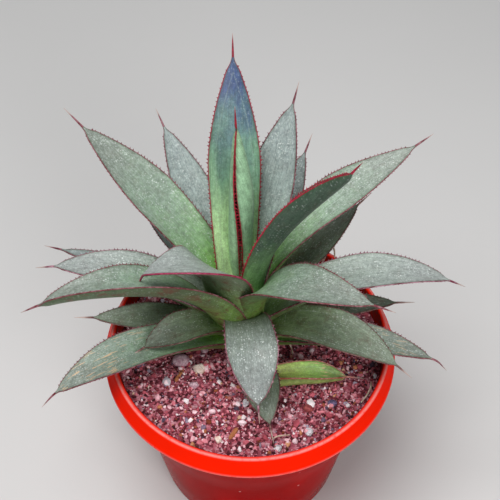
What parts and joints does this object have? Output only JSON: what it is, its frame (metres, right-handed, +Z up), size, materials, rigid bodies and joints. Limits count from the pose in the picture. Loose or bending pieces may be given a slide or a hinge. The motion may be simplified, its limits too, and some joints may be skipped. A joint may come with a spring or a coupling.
{
  "type": "potted agave",
  "caption": "Live agave rosette with toothed, spine-tipped grey-green leaves, standing in gritty soil in a round red plastic nursery pot.",
  "frame": {"origin": "centre of the pot's flat underside", "axes": "+Z up along the pot's axis, +X to the plant's right and +Y to its back, where the tallest leaf stands; -Y is its front"},
  "size_m": [0.2203, 0.1622, 0.2541],
  "materials": {
    "pot_plastic": "smooth moulded plastic, dusty",
    "potting_mix": "gritty reddish-purple bark and pumice mix",
    "stem_green": "fleshy, pale yellow-green",
    "leaf_grey_green": "fleshy, waxy grey bloom, dark red toothed margin",
    "leaf_blue_green": "fleshy, waxy blue bloom over green, dark red toothed margin",
    "leaf_deep_green": "fleshy, smooth darker green, red margin",
    "stone_pink": "rough",
    "stone_cream": "rough",
    "stone_white": "rough",
    "stone_red": "rough",
    "stone_dark": "rough",
    "bark": "rough, fibrous",
    "dried_fibre": "dry, pale"
  },
  "bodies": {
    "root": {"pot": "pot_plastic", "soil": "potting_mix", "stem": "stem_green", "leaf_spear": "leaf_blue_green", "leaf_tall": "leaf_blue_green", "leaf_inner_right": "leaf_deep_green", "leaf_left_upper": "leaf_grey_green", "leaf_back_right": "leaf_grey_green", "leaf_back_left": "leaf_grey_green", "leaf_right_upper": "leaf_grey_green", "leaf_front_left_arched": "leaf_grey_green", "leaf_front_right_arched": "leaf_grey_green", "leaf_front_hanging": "leaf_grey_green", "leaf_left_long": "leaf_grey_green", "leaf_left_middle": "leaf_grey_green", "leaf_right_long": "leaf_grey_green", "leaf_back_right_low": "leaf_grey_green", "leaf_left_behind": "leaf_grey_green", "leaf_right_behind": "leaf_deep_green", "leaf_right_front": "leaf_grey_green", "leaf_left_short": "leaf_grey_green", "leaf_left_dark": "leaf_deep_green", "leaf_left_thin": "leaf_grey_green", "leaf_left_low": "leaf_grey_green", "leaf_right_low": "leaf_grey_green", "leaf_right_under": "leaf_deep_green", "leaf_front_under": "leaf_deep_green", "leaf_back_low_left": "leaf_deep_green", "leaf_back_low_right": "leaf_deep_green", "leaf_on_soil": "leaf_deep_green", "stone_pink_pebble": "stone_pink", "stone_dark_small": "stone_dark", "stone_cream": "stone_cream", "stone_pink_small": "stone_pink", "stone_lilac_shard": "stone_white", "stone_grey_lilac": "stone_pink", "stone_grey_shard": "stone_white", "stone_white_front": "stone_white", "stone_white_right": "stone_white", "stone_cream_front": "stone_cream", "stone_red_pebble": "stone_red", "stone_purple_pebble": "stone_dark", "stone_white_back": "stone_white", "bark_left": "bark", "bark_front": "bark", "fibre_right": "dried_fibre", "fibre_front": "dried_fibre", "fibre_middle": "dried_fibre", "fibre_back": "dried_fibre"}
  },
  "joints": []
}
